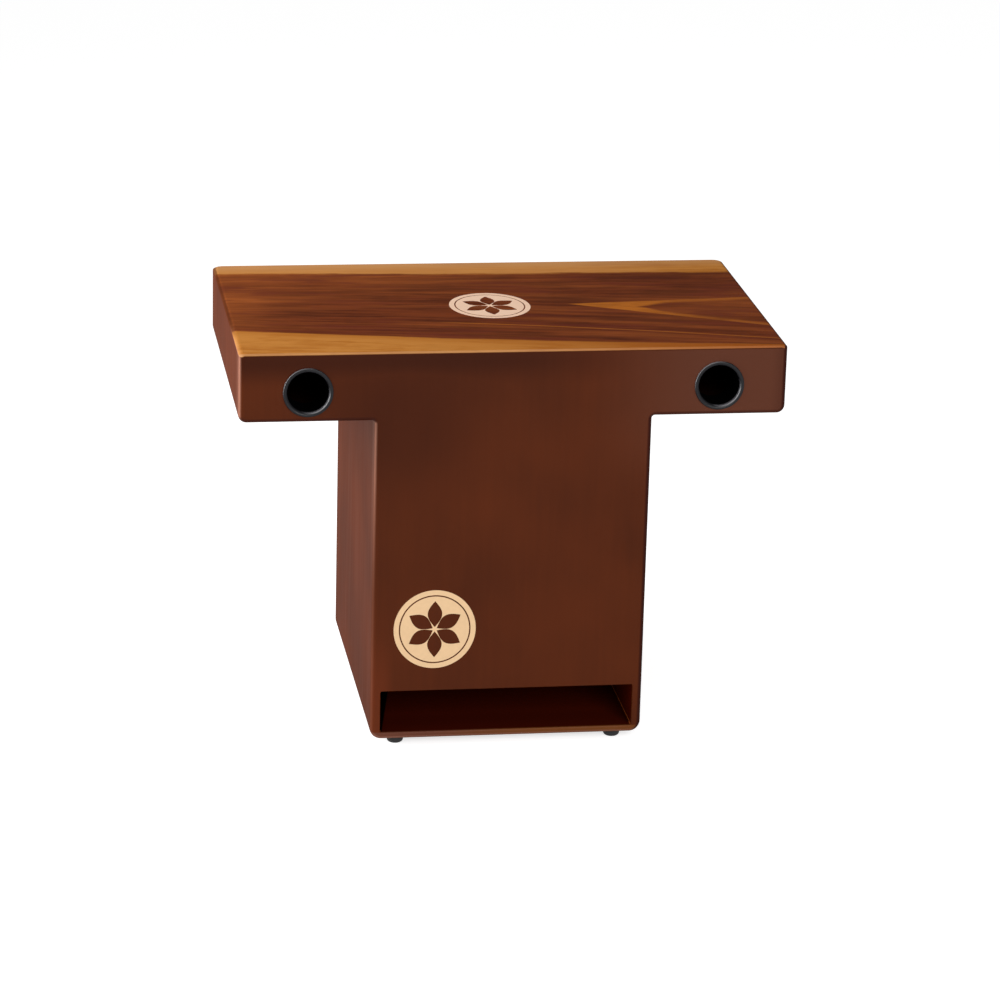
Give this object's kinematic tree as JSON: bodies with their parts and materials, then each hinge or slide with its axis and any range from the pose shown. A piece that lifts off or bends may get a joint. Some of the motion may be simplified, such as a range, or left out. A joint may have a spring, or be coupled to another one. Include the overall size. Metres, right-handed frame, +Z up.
{
  "type": "tabletop cajon",
  "caption": "T-shaped wooden box drum with a walnut playing surface, a bass slot in its pedestal, forward port tubes in its wings and snare wires inside.",
  "frame": {"origin": "on the floor under the centre of the whole object's bounding box, level with the bottoms of the rubber feet", "axes": "+Z up; front panel with the bass slot and ports faces -Y; +X along the wings, to the right as the front is seen"},
  "size_m": [0.52, 0.322, 0.395],
  "materials": {
    "walnut_top": "satin oiled walnut veneer with paler sapwood bands",
    "lacquered_body": "dark red-brown satin lacquer",
    "bare_wood": "unfinished softwood strip",
    "port_plastic": "satin black moulded plastic",
    "foot_rubber": "matt black rubber",
    "snare_steel": "plated steel wire",
    "screw_zinc": "zinc-plated screw"
  },
  "bodies": {
    "root": {"playing_surface": "walnut_top", "front_panel": "lacquered_body", "back_panel": "lacquered_body", "bottom_panel": "lacquered_body", "pedestal_side_left": "lacquered_body", "pedestal_side_right": "lacquered_body", "wing_floor_left": "lacquered_body", "wing_floor_right": "lacquered_body", "wing_end_left": "lacquered_body", "wing_end_right": "lacquered_body", "port_tube_left": "port_plastic", "port_tube_right": "port_plastic", "foot_front_left": "foot_rubber", "foot_front_right": "foot_rubber", "foot_back_left": "foot_rubber", "foot_back_right": "foot_rubber", "foot_screw_front_left": "screw_zinc", "foot_screw_front_right": "screw_zinc", "foot_screw_back_left": "screw_zinc", "foot_screw_back_right": "screw_zinc", "top_liner_front": "bare_wood", "top_liner_back": "bare_wood", "top_liner_left": "bare_wood", "top_liner_right": "bare_wood", "corner_cleat_front_left": "bare_wood", "corner_cleat_front_right": "bare_wood", "corner_cleat_back_left": "bare_wood", "corner_cleat_back_right": "bare_wood", "floor_cleat_back": "bare_wood", "joint_batten_left": "bare_wood", "joint_batten_right": "bare_wood", "snare_bar_left": "bare_wood", "snare_bar_right": "bare_wood", "snare_set_left": "snare_steel", "snare_set_right": "snare_steel", "snare_screw_left_front": "screw_zinc", "snare_screw_left_back": "screw_zinc", "snare_screw_right_front": "screw_zinc", "snare_screw_right_back": "screw_zinc"}
  },
  "joints": []
}
